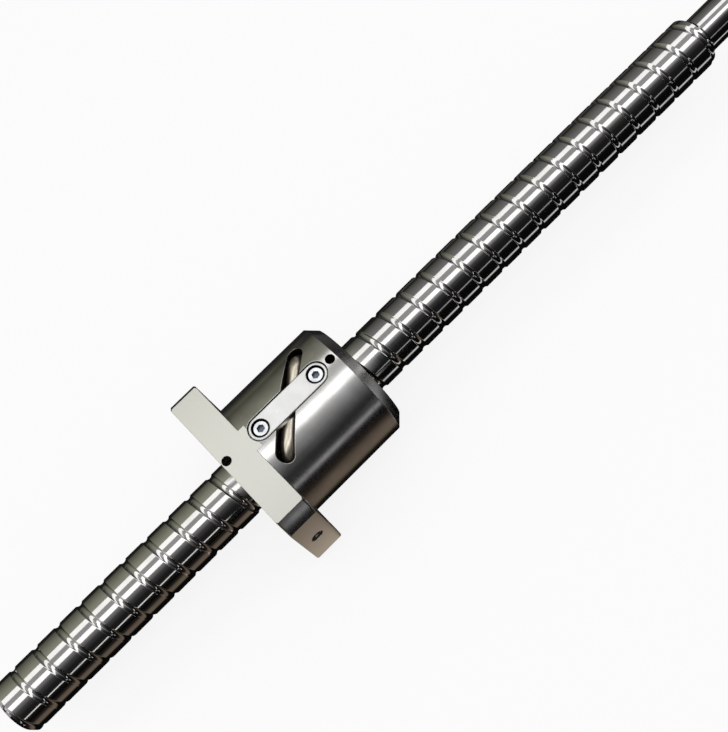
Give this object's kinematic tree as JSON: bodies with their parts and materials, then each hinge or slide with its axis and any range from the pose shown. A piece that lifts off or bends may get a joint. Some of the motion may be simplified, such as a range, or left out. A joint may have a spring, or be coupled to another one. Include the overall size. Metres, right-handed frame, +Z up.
{
  "type": "ball screw",
  "caption": "Steel ball screw: a right-hand ball thread with an end journal runs in a flanged nut, its balls led back by a bent tube under a clamp plate.",
  "frame": {"origin": "on the screw axis at the rear mounting face of the nut's flange", "axes": "+X along the screw from the flange towards the journal, +Z up out of the tube clamp"},
  "size_m": [0.428, 0.0764, 0.0573],
  "materials": {
    "ground_screw_steel": "ground and polished bearing steel",
    "nut_steel": "fine ground steel",
    "tube_steel": "drawn and bent steel tube",
    "clamp_steel": "satin plated steel",
    "cap_screw_steel": "turned and plated steel",
    "blackened_steel": "black oxide",
    "wiper_plastic": "moulded resin",
    "ball_steel": "lapped bearing steel"
  },
  "bodies": {
    "nut": {"nut_body": "nut_steel", "return_tube": "tube_steel", "tube_clamp": "clamp_steel", "clamp_screw_front": "cap_screw_steel", "clamp_screw_rear": "cap_screw_steel", "wiper_front": "wiper_plastic", "wiper_rear": "wiper_plastic", "wiper_set_screw_front": "blackened_steel", "wiper_set_screw_rear": "blackened_steel", "return_balls_in": "ball_steel", "return_balls_across": "ball_steel", "return_balls_out": "ball_steel"},
    "ball_train": {"load_balls_1": "ball_steel", "load_balls_2": "ball_steel", "load_balls_3": "ball_steel", "load_balls_4": "ball_steel", "load_balls_5": "ball_steel"},
    "screw": {"screw_shaft": "ground_screw_steel"}
  },
  "joints": [
    {"name": "screw_turn", "type": "hinge", "parent": "nut", "child": "ball_train", "pos_m": [0, 0, 0], "axis": [1, 0, 0], "range_deg": [-6121, 3601], "deforming": ["load_balls_1", "load_balls_2", "load_balls_3", "load_balls_4", "load_balls_5"]},
    {"name": "screw_travel", "type": "slide", "parent": "ball_train", "child": "screw", "axis": [1, 0, 0], "range_m": [-0.204, 0.12]}
  ],
  "couplings": [
    {"joint": "screw_turn", "follows": "screw_travel", "rad_per_m": 523.6}
  ]
}
